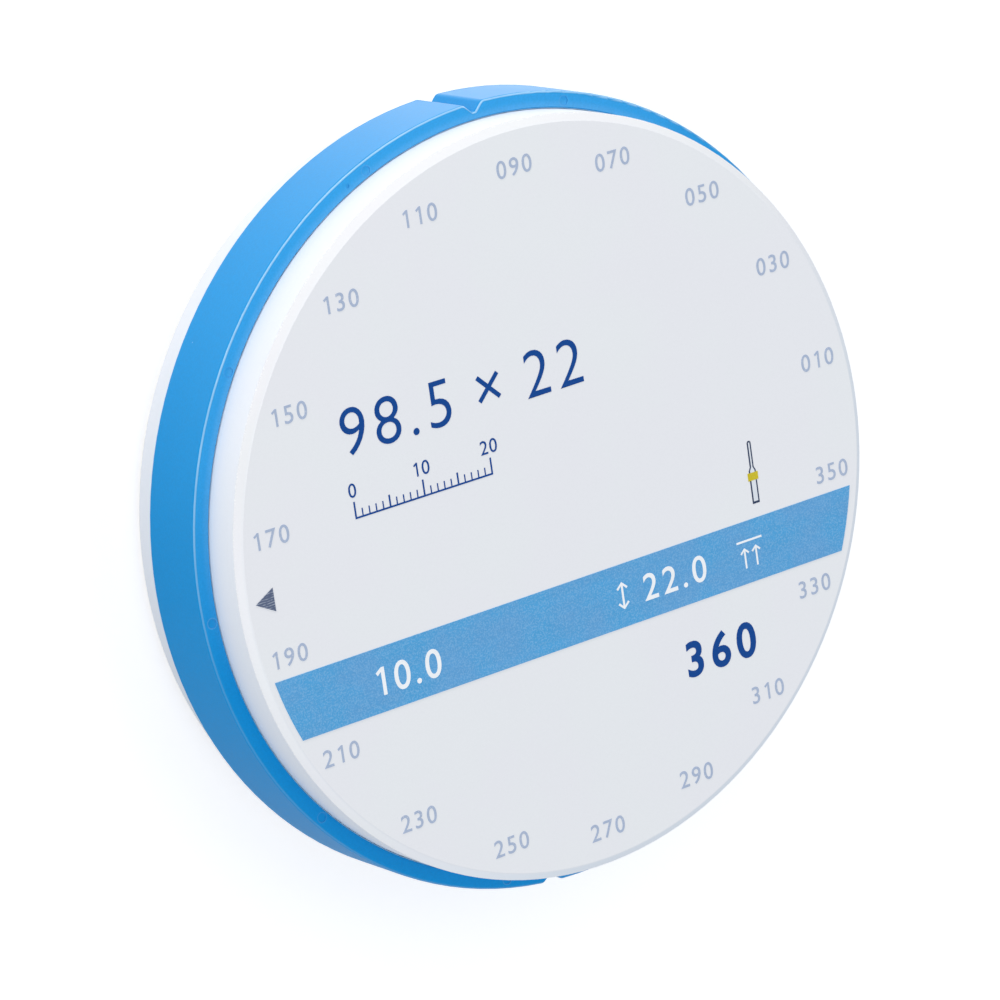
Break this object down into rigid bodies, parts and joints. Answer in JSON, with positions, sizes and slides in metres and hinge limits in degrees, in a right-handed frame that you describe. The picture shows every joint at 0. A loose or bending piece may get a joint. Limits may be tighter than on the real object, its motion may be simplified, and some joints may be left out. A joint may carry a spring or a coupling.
{
  "type": "dental milling disc",
  "caption": "Round flat blank of white pre-sintered zirconia, glued into a notched plastic carrier ring that a dental milling machine clamps.",
  "frame": {"origin": "centre of the blank's plain back face, on the axis of the disc", "axes": "+Z along the disc's axis, from the plain back face to the printed top face; +X in the direction in which the print reads"},
  "size_m": [0.0984, 0.0984, 0.0221],
  "materials": {
    "zirconia": "matte, chalky",
    "ring_plastic": "fine satin grain",
    "band_ink": "matte print",
    "pointer_ink": "matte print"
  },
  "bodies": {
    "root": {"zirconia_blank": "zirconia", "carrier_ring": "ring_plastic", "print_band": "band_ink", "print_pointer": "pointer_ink"}
  },
  "joints": []
}
